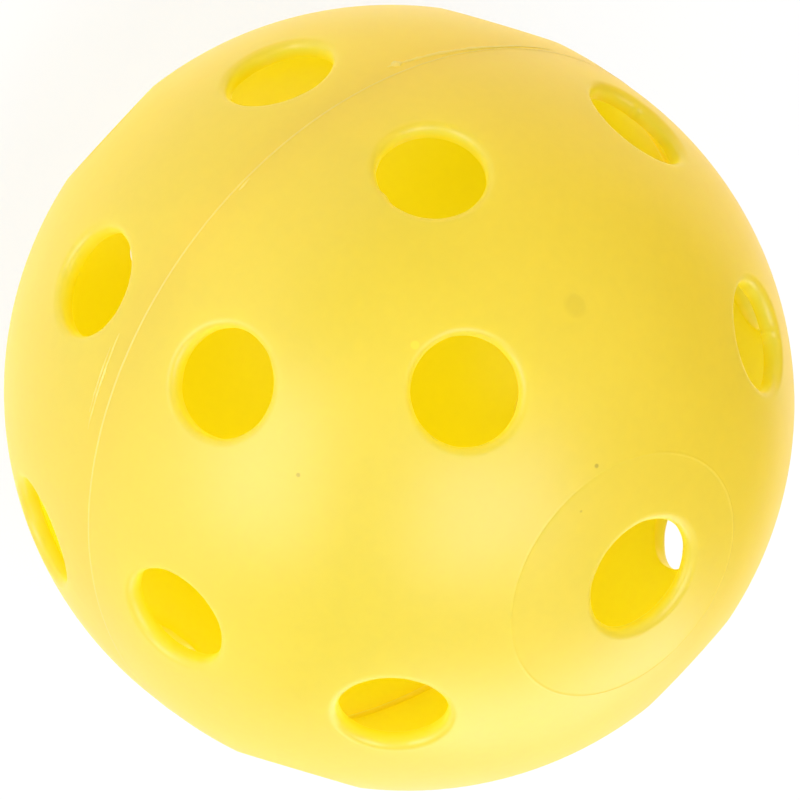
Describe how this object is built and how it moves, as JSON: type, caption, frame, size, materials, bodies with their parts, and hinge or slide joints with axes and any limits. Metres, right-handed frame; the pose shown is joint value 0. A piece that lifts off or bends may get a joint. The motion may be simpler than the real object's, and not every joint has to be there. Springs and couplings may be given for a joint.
{
  "type": "pickleball ball",
  "caption": "Hollow yellow plastic pickleball ball: two moulded half shells with rings of round holes, welded together at the equator.",
  "frame": {"origin": "centre of the ball, halfway between the two polar holes, in the plane of the weld", "axes": "+Z through the polar hole of the upper half; +X towards one of the four holes round the polar hole; the weld lies in the XY plane"},
  "size_m": [0.073, 0.073, 0.0736],
  "materials": {
    "shell_plastic": "satin translucent yellow polyethylene",
    "weld_plastic": "re-melted yellow polyethylene, slightly paler and rougher"
  },
  "bodies": {
    "root": {"upper_half_shell": "shell_plastic", "lower_half_shell": "shell_plastic", "weld_ring": "weld_plastic"}
  },
  "joints": []
}
